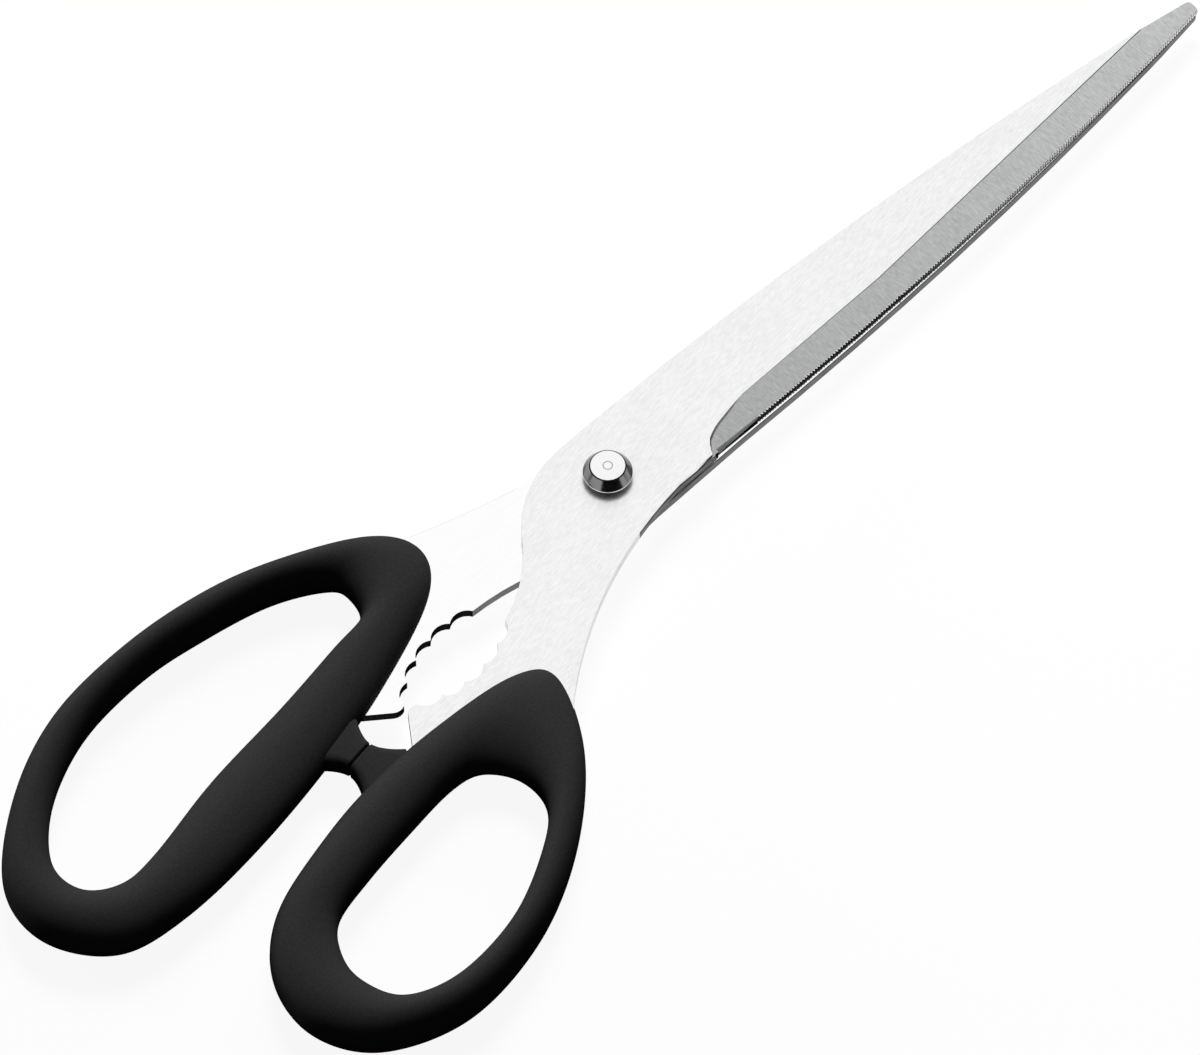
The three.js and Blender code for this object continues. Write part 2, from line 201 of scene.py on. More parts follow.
def edit(piece):
    pick(piece)
    bpy.ops.object.mode_set(mode="EDIT")


def stop_editing():
    bpy.ops.object.mode_set(mode="OBJECT")
    return bpy.context.object


def apply_modifier(piece, kind, **settings):
    pick(piece)
    bpy.ops.object.modifier_add(type=kind)
    modifier = piece.modifiers[-1]
    for key, value in settings.items():
        setattr(modifier, key, value)
    bpy.ops.object.modifier_apply(modifier=modifier.name)


def settle(piece, name, smooth_angle=SMOOTH_ANGLE):
    pick(piece)
    piece.name = name
    piece.data.name = name
    bpy.ops.object.transform_apply(location=True, rotation=True, scale=True)
    bpy.ops.object.shade_smooth_by_angle(angle=smooth_angle)


def combine(piece, other, operation):
    apply_modifier(piece, "BOOLEAN", object=other, operation=operation, solver="EXACT")
    bpy.data.objects.remove(other)


# Bows
def rail_point(points, place):
    step = int(place)
    t = place - step
    count = len(points)
    before, start, end, after = (Vector(points[(step + k) % count]) for k in (-1, 0, 1, 2))
    slope = end - before
    square = 2 * before - 5 * start + 4 * end - after
    cube = 3 * start - before - 3 * end + after
    return start + (slope * t + square * t * t + cube * t * t * t) / 2


def add_ring(centre, half_width, heading):
    bpy.ops.mesh.primitive_circle_add(
        vertices=RING_SIDES,
        radius=half_width,
        location=centre,
        rotation=(math.pi / 2, 0, heading),
    )
    # Smoothing draws a ring in a little, so each is made larger by that much
    growth = 3 / (2 + math.cos(2 * math.pi / RING_SIDES))
    bpy.ops.transform.resize(value=(growth, growth, growth), center_override=centre)
    flatten = BOW_HALF_HEIGHT / half_width
    bpy.ops.transform.resize(value=(1, 1, flatten), center_override=centre)


def bow_tube(stations):
    clear_selection()
    holes = [(x, y) for x, y, _, _ in stations]
    rims = [(x, y) for _, _, x, y in stations]
    for i in range(BOW_RINGS):
        place = i * len(stations) / BOW_RINGS
        inner = rail_point(holes, place)
        outer = rail_point(rims, place)
        across = (outer - inner) / 2
        middle = (outer + inner) / 2
        centre = PIVOT + Vector((middle.x, middle.y, 0)) * MM
        add_ring(centre, across.length * MM, math.atan2(across.y, across.x))
        if i == 0:
            bpy.ops.object.mode_set(mode="EDIT")
    bpy.ops.mesh.select_all(action="SELECT")
    bpy.ops.mesh.bridge_edge_loops(type="CLOSED")
    bpy.ops.mesh.normals_make_consistent(inside=False)
    tube = stop_editing()
    apply_modifier(tube, "SUBSURF", levels=BOW_SMOOTHING, render_levels=BOW_SMOOTHING)
    return tube


# An outline drawn up through steps, each with its two half sizes and its level in millimetres
def draw_up(steps, centre):
    before = steps[0]
    for step in steps[1:]:
        rise = UP * (step[2] - before[2]) * MM
        bpy.ops.mesh.extrude_region_move(TRANSFORM_OT_translate={"value": rise})
        grow = (step[0] / before[0], step[1] / before[1], 1)
        bpy.ops.transform.resize(value=grow, center_override=centre)
        before = step
    bpy.ops.mesh.select_all(action="SELECT")
    bpy.ops.mesh.remove_doubles(threshold=1e-7)
    bpy.ops.mesh.fill_holes(sides=0)
    bpy.ops.mesh.normals_make_consistent(inside=False)
    return stop_editing()


def turned_form(profile, sides, centre):
    clear_selection()
    radius, level = profile[0]
    start = centre + UP * level * MM
    bpy.ops.mesh.primitive_circle_add(vertices=sides, radius=radius * MM, location=start)
    bpy.ops.object.mode_set(mode="EDIT")
    return draw_up([(radius, radius, level) for radius, level in profile], centre)


def stop_steps():
    face = STOP_GAP / 2
    start = face + STOP_RIM
    steps = [(STOP_HALF_WIDTH - STOP_RIM, STOP_HALF_HEIGHT - STOP_RIM, face)]
    for i in range(STOP_STEPS + 1):
        share = i / STOP_STEPS
        half_width = STOP_HALF_WIDTH + STOP_FLARE * share**FLARE_POWER
        steps.append((half_width, STOP_HALF_HEIGHT, start + (STOP_LENGTH - start) * share))
    root_half_width = STOP_HALF_WIDTH + STOP_FLARE * ROOT_FLARE_SHARE
    steps.append((root_half_width, STOP_HALF_HEIGHT, STOP_LENGTH + STOP_ROOT))
    return steps


def bow_stop(towards):
    steps = stop_steps()
    half_width, half_height, level = steps[0]
    origin = Vector((0, 0, 0))
    clear_selection()
    bpy.ops.mesh.primitive_plane_add(size=2 * MM, location=UP * level * MM)
    bpy.ops.object.mode_set(mode="EDIT")
    bpy.ops.transform.resize(value=(half_width, half_height, 1), center_override=origin)
    bpy.ops.mesh.bevel(offset=STOP_CORNER * MM, segments=6, affect="VERTICES")
    bpy.ops.mesh.select_all(action="SELECT")
    bpy.ops.mesh.delete(type="ONLY_FACE")
    bpy.ops.mesh.select_all(action="SELECT")
    stop = draw_up(steps, origin)
    pick(stop)
    bpy.ops.object.transform_apply(location=True, rotation=True, scale=True)
    turn = STOP_ANGLE if towards > 0 else STOP_ANGLE + math.pi
    stop.rotation_euler = (-math.pi / 2, 0, turn)
    away = Vector((-math.cos(STOP_ANGLE), -math.sin(STOP_ANGLE), 0))
    stop.location = PIVOT + away * STOP_REACH * MM
    bpy.ops.object.transform_apply(location=True, rotation=True, scale=True)
    return stop


def bow(name, stations, towards):
    tube = bow_tube(stations)
    combine(tube, bow_stop(towards), "UNION")
    settle(tube, name)
    return tube


def turned_piece(name, profile):
    piece = turned_form(profile, TURNED_SIDES, PIVOT)
    apply_modifier(
        piece,
        "BEVEL",
        width=TURNED_ROUND,
        segments=2,
        limit_method="ANGLE",
        angle_limit=TURNED_CORNER,
    )
    settle(piece, name)
    apply_modifier(piece, "WEIGHTED_NORMAL", keep_sharp=True)
    return piece


# Slopes of faces, by how far their normals point up
UPRIGHT_WALL = 0.05
LEVEL_FACE = 0.999
WALL_SLOPE = 0.4
GROUND_SLOPE = (0.95, 0.985)
BORDER_SLOPE = (0.985, 0.998)
UNDERSIDE = -0.9
SIDEWAYS = 0.3

# Pivot head: bright steel on its flat end and its rim; its cone and its centre mark are painted
# greyer, as painted shade
# It is painted dark where its edge is broken, as painted shade
BREAK_SLOPE = 0.98
END_SLOPE = 0.95
BRIGHT_FACE = 0
CONE_FACE = 1
MARK_FACE = 2
BREAK_FACE = 3


def head_light_and_shade(face):
    reach = math.hypot(face.center.x - PIVOT.x, face.center.y - PIVOT.y) / MM
    if CENTRE_MARK[0] < reach < CENTRE_MARK[1]:
        return MARK_FACE
    if HEAD_BREAK[0] < reach < HEAD_BREAK[1] and face.normal.z < BREAK_SLOPE:
        return BREAK_FACE
    if face.normal.z > END_SLOPE or abs(face.normal.z) < UPRIGHT_WALL:
        return BRIGHT_FACE
    return CONE_FACE


# Blades: the solid's own form, with its outer edges rounded and its faces sorted partly by how they
# were made and partly into lit and shaded copies of the steel, as painted light and painted shade
FLAT_FACE = 0
INNER_FACE = 1
GROUND_FACE = 2
DEEP_SHADE_FACE = 3
HALF_SHADE_FACE = 4
LIT_WALL_FACE = 5
SHADE_LINE_FACE = 6
GLINT_FACE = 7
ROLLED_FACE = 8
FLANK_FACE = 9

# Places along the blades and levels on them, from the pivot
FRONT_LIP_START = -43.5 * MM
REAR_JAW_START = -27.3 * MM
HEEL_START = -4.5 * MM
ROOTS_START = 8 * MM
GRIND_START = 12.4 * MM
HEEL_END = 21.6 * MM
TEETH_LEVEL = 0.75 * MM
GLINT_LEVEL = 0.9 * MM
OUTER_LEVEL = 1.2 * MM

# Toothed edge: an arc over its chord
EDGE_START = Vector((21.7, -7.0, 0)) * MM
EDGE_END = Vector((113.8, -0.95, 0)) * MM
EDGE_BULGE = 1.37 * MM
EDGE_CHORD = EDGE_END - EDGE_START
EDGE_OUTWARD = Vector((EDGE_CHORD.y, -EDGE_CHORD.x, 0)).normalized()
EDGE_RADIUS = (EDGE_CHORD.length**2 / 4 + EDGE_BULGE**2) / (2 * EDGE_BULGE)
EDGE_MIDDLE = PIVOT + (EDGE_START + EDGE_END) / 2
EDGE_CENTRE = EDGE_MIDDLE - EDGE_OUTWARD * (EDGE_RADIUS - EDGE_BULGE)
FLANK_SIDE = -0.1


# Walls get lit or shaded copies of the steel, chosen by where they stand and which way they face the
# camera's right: painted light and painted shade
def wall_light_and_shade(face, outward):
    along = face.center.x - PIVOT.x
    to_right = face.normal.dot(PICTURE_RIGHT)
    if outward > 0:
        if along > GRIND_START and face.center.y < PIVOT.y:
            if face.center.z - PIVOT.z > TEETH_LEVEL:
                return SHADE_LINE_FACE
            # Tooth walls that face the tip are painted deep shade
            return FLANK_FACE if face.normal.x < FLANK_SIDE else DEEP_SHADE_FACE
        if along < FRONT_LIP_START and to_right < 0:
            return DEEP_SHADE_FACE
        return LIT_WALL_FACE if along < HEEL_START or to_right < SIDEWAYS else HALF_SHADE_FACE
    if along < REAR_JAW_START:
        return DEEP_SHADE_FACE
    return HALF_SHADE_FACE


# Broken edges: painted glints on the teeth, painted dark shade lines along the rest of the grind, and
# rolled ones elsewhere
def broken_edge_finish_glint_and_shade(place, outward):
    if place.x < GRIND_START or place.y * outward > 0:
        return ROLLED_FACE
    toothed = outward > 0 and place.x > HEEL_END and place.z < GLINT_LEVEL
    return GLINT_FACE if toothed else SHADE_LINE_FACE


def face_finish_and_shade(face, outward):
    lean = face.normal.z * outward
    if abs(lean) < WALL_SLOPE:
        return wall_light_and_shade(face, outward)
    if lean < UNDERSIDE:
        return INNER_FACE
    place = face.center - PIVOT
    if lean < 0:
        # Faces that slope in under the blade are painted deep shade past the heel
        return DEEP_SHADE_FACE if place.x > HEEL_START else ROLLED_FACE
    if lean < GROUND_SLOPE[0]:
        return broken_edge_finish_glint_and_shade(place, outward)
    if BORDER_SLOPE[0] < lean < BORDER_SLOPE[1]:
        return SHADE_LINE_FACE
    if GROUND_SLOPE[0] < lean < GROUND_SLOPE[1]:
        return GROUND_FACE
    return FLAT_FACE


# Selects the outer edges that the test asks for, given their steep face, its slope and the other's
def select_edges(piece, test):
    edit(piece)
    bpy.ops.mesh.select_mode(type="EDGE")
    bpy.ops.mesh.select_all(action="DESELECT")
    mesh = bmesh.from_edit_mesh(piece.data)
    for edge in mesh.edges:
        if len(edge.link_faces) == 2 and edge.is_convex:
            wall, top = sorted(edge.link_faces, key=lambda face: abs(face.normal.z))
            edge.select_set(test(edge, wall, abs(wall.normal.z), abs(top.normal.z)))
    bmesh.update_edit_mesh(piece.data)


def middle_of(edge):
    return (edge.verts[0].co + edge.verts[1].co) / 2 - PIVOT


def break_edges(piece, test, width, segments):
    select_edges(piece, test)
    bpy.ops.mesh.bevel(offset=width, segments=segments, affect="EDGES", clamp_overlap=True)
    stop_editing()


# Tooth grooves run out towards the inner face, so their roots lean out to the edge there
UPRIGHT_EDGE = 0.9


def lean_roots(piece):
    edit(piece)
    bpy.ops.mesh.select_mode(type="VERT")
    bpy.ops.mesh.select_all(action="DESELECT")
    mesh = bmesh.from_edit_mesh(piece.data)
    for edge in mesh.edges:
        run = edge.verts[1].co - edge.verts[0].co
        upright = abs(run.z) > UPRIGHT_EDGE * run.length
        if upright and middle_of(edge).x > ROOTS_START and not edge.is_convex:
            low = min(edge.verts, key=lambda corner: corner.co.z)
            low.select_set(True)
    bmesh.update_edit_mesh(piece.data)
    bpy.ops.transform.translate(value=EDGE_OUTWARD * ROOT_LEAN)
    stop_editing()


def grind_border(edge, wall, steep, flat):
    return GROUND_SLOPE[0] < steep < GROUND_SLOPE[1] and flat > LEVEL_FACE


def tooth_crest(edge, wall, steep, flat):
    whole = edge.calc_length() > SHORT_EDGE
    ground = GROUND_SLOPE[0] < flat < GROUND_SLOPE[1]
    return whole and ground and steep < WALL_SLOPE and wall.normal.x < -SIDEWAYS


# Inner edges of the rear blade's spine and of the back of its arm
def rear_break(edge, wall, steep, flat):
    place = middle_of(edge)
    back = wall.normal.y < -SIDEWAYS if place.x > HEEL_START else wall.normal.y > SIDEWAYS
    square = steep < UPRIGHT_WALL and flat > LEVEL_FACE
    return back and square and place.z > -TEETH_LEVEL


# Cuts at the heel, which taper out where the teeth start: three points on each plane, in millimetres
HEEL_WALL = (
    Vector((21.7, -7.0, 0.4)),
    Vector((13.3, -7.22, 0.0)),
    Vector((13.3, -7.22, 0.8)),
)
HEEL_FACET = (
    Vector((21.7, -7.0, 0.5)),
    Vector((14.0, -7.21, 0.12)),
    Vector((14.0, -6.78, 0.78)),
)
OUT_AT_HEEL = Vector((0, -1, 1))
CUTTER_WIDTH = 4
CUTTER_HEIGHT = 2


def heel_cut(piece, points):
    end, low, high = (PIVOT + point * MM for point in points)
    start = (low + high) / 2
    length = (end - start).length
    along = (end - start).normalized()
    upright = (high - low).cross(end - low).normalized()
    upright = upright if upright.dot(OUT_AT_HEEL) > 0 else -upright
    across = upright.cross(along)
    clear_selection()
    bpy.ops.mesh.primitive_cube_add(size=MM)
    cutter = bpy.context.object
    cutter.scale = (length / MM, CUTTER_WIDTH, CUTTER_HEIGHT)
    bpy.ops.object.transform_apply(location=True, rotation=True, scale=True)
    turn = Matrix((along, across, upright)).transposed()
    cutter.rotation_euler = turn.to_euler()
    cutter.location = (start + end) / 2 + upright * (CUTTER_HEIGHT / 2) * MM
    bpy.ops.object.transform_apply(location=True, rotation=True, scale=True)
    combine(piece, cutter, "DIFFERENCE")


MERGE_DISTANCE = 1e-6
SAME_PLANE = math.radians(0.6)


def blade(name, node, outward):
    solid = frame["nodes"][node]
    piece = bpy.data.objects.new(name, solid.data.copy())
    bpy.context.scene.collection.objects.link(piece)
    piece.data.materials.clear()
    edit(piece)
    bpy.ops.mesh.select_all(action="SELECT")
    bpy.ops.mesh.remove_doubles(threshold=MERGE_DISTANCE)
    bpy.ops.mesh.dissolve_limited(angle_limit=SAME_PLANE)
    stop_editing()

    def outer_edge(edge, wall, steep, flat):
        square = steep < UPRIGHT_WALL and flat > LEVEL_FACE
        return square and middle_of(edge).z * outward > OUTER_LEVEL

    def foot(wall):
        return min((corner.co.z - PIVOT.z) * outward for corner in wall.verts)

    # The shallow step at the heel is only broken: walls of the full height are rounded
    def heel_edge(edge, wall, steep, flat):
        return outer_edge(edge, wall, steep, flat) and foot(wall) > TEETH_LEVEL

    def full_edge(edge, wall, steep, flat):
        return outer_edge(edge, wall, steep, flat) and foot(wall) < TEETH_LEVEL

    break_edges(piece, grind_border, BORDER_WIDTH, 1)
    break_edges(piece, heel_edge, HEEL_BREAK, 1)
    if outward > 0:
        break_edges(piece, full_edge, BLADE_ROUND, 3)
        lean_roots(piece)
        break_edges(piece, tooth_crest, GLINT_FACET, 1)
        heel_cut(piece, HEEL_WALL)
        heel_cut(piece, HEEL_FACET)
    else:
        break_edges(piece, full_edge, REAR_ROUND, 3)
        break_edges(piece, rear_break, REAR_BREAK, 1)
    settle(piece, name)
    apply_modifier(piece, "WEIGHTED_NORMAL", keep_sharp=True)
    return piece


# Shader groups
def add_node(tree, kind, **values):
    node = tree.nodes.new(kind)
    for key, value in values.items():
        setattr(node, key, value)
    return node


def new_group(name, inputs, outputs):
    group = bpy.data.node_groups.new(name, "ShaderNodeTree")
    for label, default in inputs:
        socket = group.interface.new_socket(label, in_out="INPUT", socket_type="NodeSocketFloat")
        socket.default_value = default
    for label in outputs:
        group.interface.new_socket(label, in_out="OUTPUT", socket_type="NodeSocketFloat")
    source = add_node(group, "NodeGroupInput")
    sink = add_node(group, "NodeGroupOutput")
    return group, source, sink


# Fine parallel marks, as a belt or a wheel leaves them
def make_brush_group():
    inputs = (("Turn", 0.0), ("Along", 200.0), ("Across", 5000.0), ("Patch", 120.0))
    group, source, sink = new_group("brush_marks", inputs, ("Marks", "Patches"))
    place = add_node(group, "ShaderNodeTexCoord")
    turn = add_node(group, "ShaderNodeVectorRotate", rotation_type="Z_AXIS")
    stretch = add_node(group, "ShaderNodeCombineXYZ")
    scaled = add_node(group, "ShaderNodeVectorMath", operation="MULTIPLY")
    marks = add_node(group, "ShaderNodeTexNoise")
    marks.inputs["Scale"].default_value = 1
    marks.inputs["Detail"].default_value = 4
    marks.inputs["Roughness"].default_value = 0.65
    patches = add_node(group, "ShaderNodeTexNoise")
    patches.inputs["Detail"].default_value = 3
    link = group.links.new
    link(place.outputs["Object"], turn.inputs["Vector"])
    link(source.outputs["Turn"], turn.inputs["Angle"])
    link(source.outputs["Along"], stretch.inputs["X"])
    link(source.outputs["Across"], stretch.inputs["Y"])
    link(source.outputs["Across"], stretch.inputs["Z"])
    link(turn.outputs["Vector"], scaled.inputs[0])
    link(stretch.outputs["Vector"], scaled.inputs[1])
    link(scaled.outputs["Vector"], marks.inputs["Vector"])
    link(place.outputs["Object"], patches.inputs["Vector"])
    link(source.outputs["Patch"], patches.inputs["Scale"])
    link(marks.outputs["Fac"], sink.inputs["Marks"])
    link(patches.outputs["Fac"], sink.inputs["Patches"])
    return group


# Fine moulded grain
def make_grain_group():
    inputs = (("Grain", 4000.0), ("Cloud", 90.0))
    group, source, sink = new_group("moulded_grain", inputs, ("Grain", "Clouds"))
    place = add_node(group, "ShaderNodeTexCoord")
    grain = add_node(group, "ShaderNodeTexNoise")
    grain.inputs["Detail"].default_value = 2
    clouds = add_node(group, "ShaderNodeTexNoise")
    clouds.inputs["Detail"].default_value = 3
    link = group.links.new
    link(place.outputs["Object"], grain.inputs["Vector"])
    link(place.outputs["Object"], clouds.inputs["Vector"])
    link(source.outputs["Grain"], grain.inputs["Scale"])
    link(source.outputs["Cloud"], clouds.inputs["Scale"])
    link(grain.outputs["Fac"], sink.inputs["Grain"])
    link(clouds.outputs["Fac"], sink.inputs["Clouds"])
    return group


BRUSH_MARKS = make_brush_group()
MOULDED_GRAIN = make_grain_group()


# Materials
def new_material(name):
    material = bpy.data.materials.new(name)
    material.use_nodes = True
    tree = material.node_tree
    return material, tree, tree.nodes["Principled BSDF"]


def use_group(tree, group, **values):
    node = add_node(tree, "ShaderNodeGroup", node_tree=group)
    for key, value in values.items():
        node.inputs[key].default_value = value
    return node


# Range of a noise mask that is spread over the whole step
MASK_LOW = 0.3
MASK_HIGH = 0.7


def colour_between(tree, mask, low, high, shader):
    ramp = add_node(tree, "ShaderNodeValToRGB")
    ramp.color_ramp.elements[0].position = MASK_LOW
    ramp.color_ramp.elements[1].position = MASK_HIGH
    ramp.color_ramp.elements[0].color = (*low, 1)
    ramp.color_ramp.elements[1].color = (*high, 1)
    tree.links.new(mask, ramp.inputs["Fac"])
    tree.links.new(ramp.outputs["Color"], shader.inputs["Base Color"])


def roughness_between(tree, mask, low, high, shader):
    spread = add_node(tree, "ShaderNodeMapRange")
    spread.inputs["From Min"].default_value = MASK_LOW
    spread.inputs["From Max"].default_value = MASK_HIGH
    spread.inputs["To Min"].default_value = low
    spread.inputs["To Max"].default_value = high
    tree.links.new(mask, spread.inputs["Value"])
    tree.links.new(spread.outputs["Result"], shader.inputs["Roughness"])


def bump_from(tree, height, depth, shader):
    bump = add_node(tree, "ShaderNodeBump")
    bump.inputs["Strength"].default_value = 1
    bump.inputs["Distance"].default_value = depth
    tree.links.new(height, bump.inputs["Height"])
    tree.links.new(bump.outputs["Normal"], shader.inputs["Normal"])


def marked_steel(name, low, high, rough, depth, **marks):
    material, tree, shader = new_material(name)
    shader.inputs["Metallic"].default_value = 1
    brush = use_group(tree, BRUSH_MARKS, **marks)
    colour_between(tree, brush.outputs["Marks"], low, high, shader)
    roughness_between(tree, brush.outputs["Patches"], rough[0], rough[1], shader)
    bump_from(tree, brush.outputs["Marks"], depth, shader)
    return material


def moulded(name, low, high, rough, depth, specular, **grain):
    material, tree, shader = new_material(name)
    shader.inputs["Specular IOR Level"].default_value = specular
    texture = use_group(tree, MOULDED_GRAIN, **grain)
    colour_between(tree, texture.outputs["Grain"], low, high, shader)
    roughness_between(tree, texture.outputs["Clouds"], rough[0], rough[1], shader)
    bump_from(tree, texture.outputs["Grain"], depth, shader)
    return material


def grey(value):
    return (value, value, value)


def ground_grey(value):
    return (value * 0.985, value, value * 0.993)


# Turned finish: rings about the pivot axis
RING_SHADE = 0.93


def turned_steel(name, value, rough, depth, pitch):
    material, tree, shader = new_material(name)
    shader.inputs["Metallic"].default_value = 1
    place = add_node(tree, "ShaderNodeTexCoord")
    centred = add_node(tree, "ShaderNodeMapping")
    centred.inputs["Location"].default_value = (-PIVOT.x, -PIVOT.y, -PIVOT.z)
    split = add_node(tree, "ShaderNodeSeparateXYZ")
    plan = add_node(tree, "ShaderNodeCombineXYZ")
    radius = add_node(tree, "ShaderNodeVectorMath", operation="LENGTH")
    rings = add_node(tree, "ShaderNodeTexNoise", noise_dimensions="1D")
    rings.inputs["Scale"].default_value = 1 / pitch
    rings.inputs["Detail"].default_value = 2
    link = tree.links.new
    link(place.outputs["Object"], centred.inputs["Vector"])
    link(centred.outputs["Vector"], split.inputs["Vector"])
    link(split.outputs["X"], plan.inputs["X"])
    link(split.outputs["Y"], plan.inputs["Y"])
    link(plan.outputs["Vector"], radius.inputs[0])
    link(radius.outputs["Value"], rings.inputs["W"])
    colour_between(tree, rings.outputs["Fac"], grey(value * RING_SHADE), grey(value), shader)
    roughness_between(tree, rings.outputs["Fac"], rough[0], rough[1], shader)
    bump_from(tree, rings.outputs["Fac"], depth, shader)
    return material


# A value that runs from one end of a range to the other
def spread_between(tree, value, start, end, low=0.0, high=1.0):
    spread = add_node(tree, "ShaderNodeMapRange")
    spread.inputs["From Min"].default_value = start
    spread.inputs["From Max"].default_value = end
    spread.inputs["To Min"].default_value = low
    spread.inputs["To Max"].default_value = high
    tree.links.new(value, spread.inputs["Value"])
    return spread.outputs["Result"]


def place_along(tree, axis):
    place = add_node(tree, "ShaderNodeTexCoord")
    split = add_node(tree, "ShaderNodeSeparateXYZ")
    tree.links.new(place.outputs["Object"], split.inputs["Vector"])
    return split.outputs[axis]


def scale_colour(tree, share):
    shader = tree.nodes["Principled BSDF"]
    plain = shader.inputs["Base Color"].links[0].from_socket
    scaled = add_node(tree, "ShaderNodeVectorMath", operation="SCALE")
    tree.links.new(plain, scaled.inputs[0])
    tree.links.new(share, scaled.inputs["Scale"])
    tree.links.new(scaled.outputs["Vector"], shader.inputs["Base Color"])


# Ground steel: painted lighter towards the tip, a painted reflection of where the grind flattens out
def paint_light_to_tip(material, gain):
    tree = material.node_tree
    scale_colour(tree, spread_between(tree, place_along(tree, "X"), PIVOT.x, cad_high[0], 1, gain))


# Sheared wall: its upper band is painted dark, as painted shade
SHADE_BAND_SHARE = 0.42
SHADE_BAND_FADE = 0.15 * MM
SHADE_BAND_VALUE = 0.06


def shade_top_band(material):
    tree = material.node_tree
    low = PIVOT.z + BLADE_OUTER * MM * (1 - SHADE_BAND_SHARE)
    height = place_along(tree, "Z")
    scale_colour(tree, spread_between(tree, height, low, low + SHADE_BAND_FADE, 1, SHADE_BAND_VALUE))


# Tooth flanks: painted shade in the grooves, except at the tips of the teeth towards the end of the
# blade, which are left lit
TIP_DEPTH = (0.24 * MM, 0.06 * MM)
LIT_TIPS_FROM = 50 * MM
LIT_TIPS_TO = 85 * MM
GROOVE_SHADE = 0.03


def brighten_tips(material):
    tree = material.node_tree
    along = place_along(tree, "X")
    ahead = spread_between(tree, along, PIVOT.x + LIT_TIPS_FROM, PIVOT.x + LIT_TIPS_TO)
    place = add_node(tree, "ShaderNodeTexCoord")
    reach = add_node(tree, "ShaderNodeVectorMath", operation="DISTANCE")
    reach.inputs[1].default_value = EDGE_CENTRE
    tree.links.new(place.outputs["Object"], reach.inputs[0])
    deep = EDGE_RADIUS - TIP_DEPTH[0]
    shallow = EDGE_RADIUS - TIP_DEPTH[1]
    tips = spread_between(tree, reach.outputs["Value"], deep, shallow)
    bright = add_node(tree, "ShaderNodeMath", operation="MULTIPLY")
    tree.links.new(ahead, bright.inputs[0])
    tree.links.new(tips, bright.inputs[1])
    scale_colour(tree, spread_between(tree, bright.outputs["Value"], 0, 1, GROOVE_SHADE, 1))


# Painted shade: the wall's reflection is tinted dark, so it stays dark where it is seen at a low angle
GRAZING_SHADE_TINT = 0.08


def darken_at_grazing(material):
    shader = material.node_tree.nodes["Principled BSDF"]
    shader.inputs["Specular Tint"].default_value = (*grey(GRAZING_SHADE_TINT), 1)


LENGTHWAYS = math.radians(-10)
ACROSS_BEVEL = math.radians(84)
CROSSWAYS = math.radians(90)
FINE_MARKS = {"Along": 900, "Across": 4000, "Patch": 400}
BEVEL_GAIN = 1.4
FLANK_GAIN = 4
blade_flat = marked_steel(
    "blade_flat_brushed",
    grey(0.815),
    grey(0.985),
    (0.28, 0.36),
    0.003 * MM,
    Turn=LENGTHWAYS,
    Along=900,
    Across=6500,
    Patch=150,
)
blade_inner = marked_steel(
    "blade_inner_lapped",
    grey(0.96),
    grey(1.0),
    (0.08, 0.12),
    0.0004 * MM,
    Turn=0,
    Along=200,
    Across=6000,
    Patch=150,
)
# Ground bevel: darker grey, partly its grind and partly painted reflection
blade_ground = marked_steel(
    "blade_bevel_ground",
    ground_grey(0.33),
    ground_grey(0.48),
    (0.34, 0.42),
    0.004 * MM,
    Turn=ACROSS_BEVEL,
    Along=350,
    Across=4500,
    Patch=200,
)
paint_light_to_tip(blade_ground, BEVEL_GAIN)
# Painted deep shade: near-black steel for the walls and faces in shade
blade_deep_shade = marked_steel(
    "blade_wall_painted_deep_shade",
    grey(0.01),
    grey(0.035),
    (0.4, 0.55),
    0.01 * MM,
    Turn=CROSSWAYS,
    **FINE_MARKS,
)
darken_at_grazing(blade_deep_shade)
# Painted shade: grey steel for the shaded walls
blade_half_shade = marked_steel(
    "blade_wall_painted_half_shade",
    grey(0.12),
    grey(0.2),
    (0.4, 0.55),
    0.01 * MM,
    Turn=CROSSWAYS,
    **FINE_MARKS,
)
# The upper band of these walls is painted darker, as painted shade
shade_top_band(blade_half_shade)
# Painted light: pale steel for the lit walls
blade_lit_wall = marked_steel(
    "blade_wall_painted_light",
    grey(0.78),
    grey(0.9),
    (0.4, 0.5),
    0.006 * MM,
    Turn=CROSSWAYS,
    **FINE_MARKS,
)
# Painted shade: a dark line along the grind's border and the upper tooth walls
blade_shade_line = marked_steel(
    "blade_bevel_painted_shade_line",
    grey(0.15),
    grey(0.22),
    (0.4, 0.5),
    0.002 * MM,
    Turn=0,
    **FINE_MARKS,
)
# Painted highlight: near-white facets that stand for glints on the tooth tips
blade_tooth_glint = marked_steel(
    "blade_teeth_painted_glint",
    grey(0.92),
    grey(1.0),
    (0.65, 0.75),
    0.002 * MM,
    Turn=0,
    **FINE_MARKS,
)
blade_rolled = marked_steel(
    "blade_edge_rolled",
    grey(0.56),
    grey(0.7),
    (0.35, 0.45),
    0.003 * MM,
    Turn=0,
    **FINE_MARKS,
)
# Tooth flanks: grey steel with painted shade in the grooves, painted lighter towards the tip
blade_flank = marked_steel(
    "blade_teeth_ground",
    grey(0.2),
    grey(0.25),
    (0.4, 0.5),
    0.004 * MM,
    Turn=ACROSS_BEVEL,
    **FINE_MARKS,
)
brighten_tips(blade_flank)
paint_light_to_tip(blade_flank, FLANK_GAIN)
pivot_steel = turned_steel("pivot_turned", 0.95, (0.12, 0.18), 0.001 * MM, 0.12 * MM)
# Painted shade: the cone's steel is darker than the head's
pivot_cone_shade = turned_steel("pivot_cone_painted_shade", 0.24, (0.14, 0.2), 0.001 * MM, 0.1 * MM)
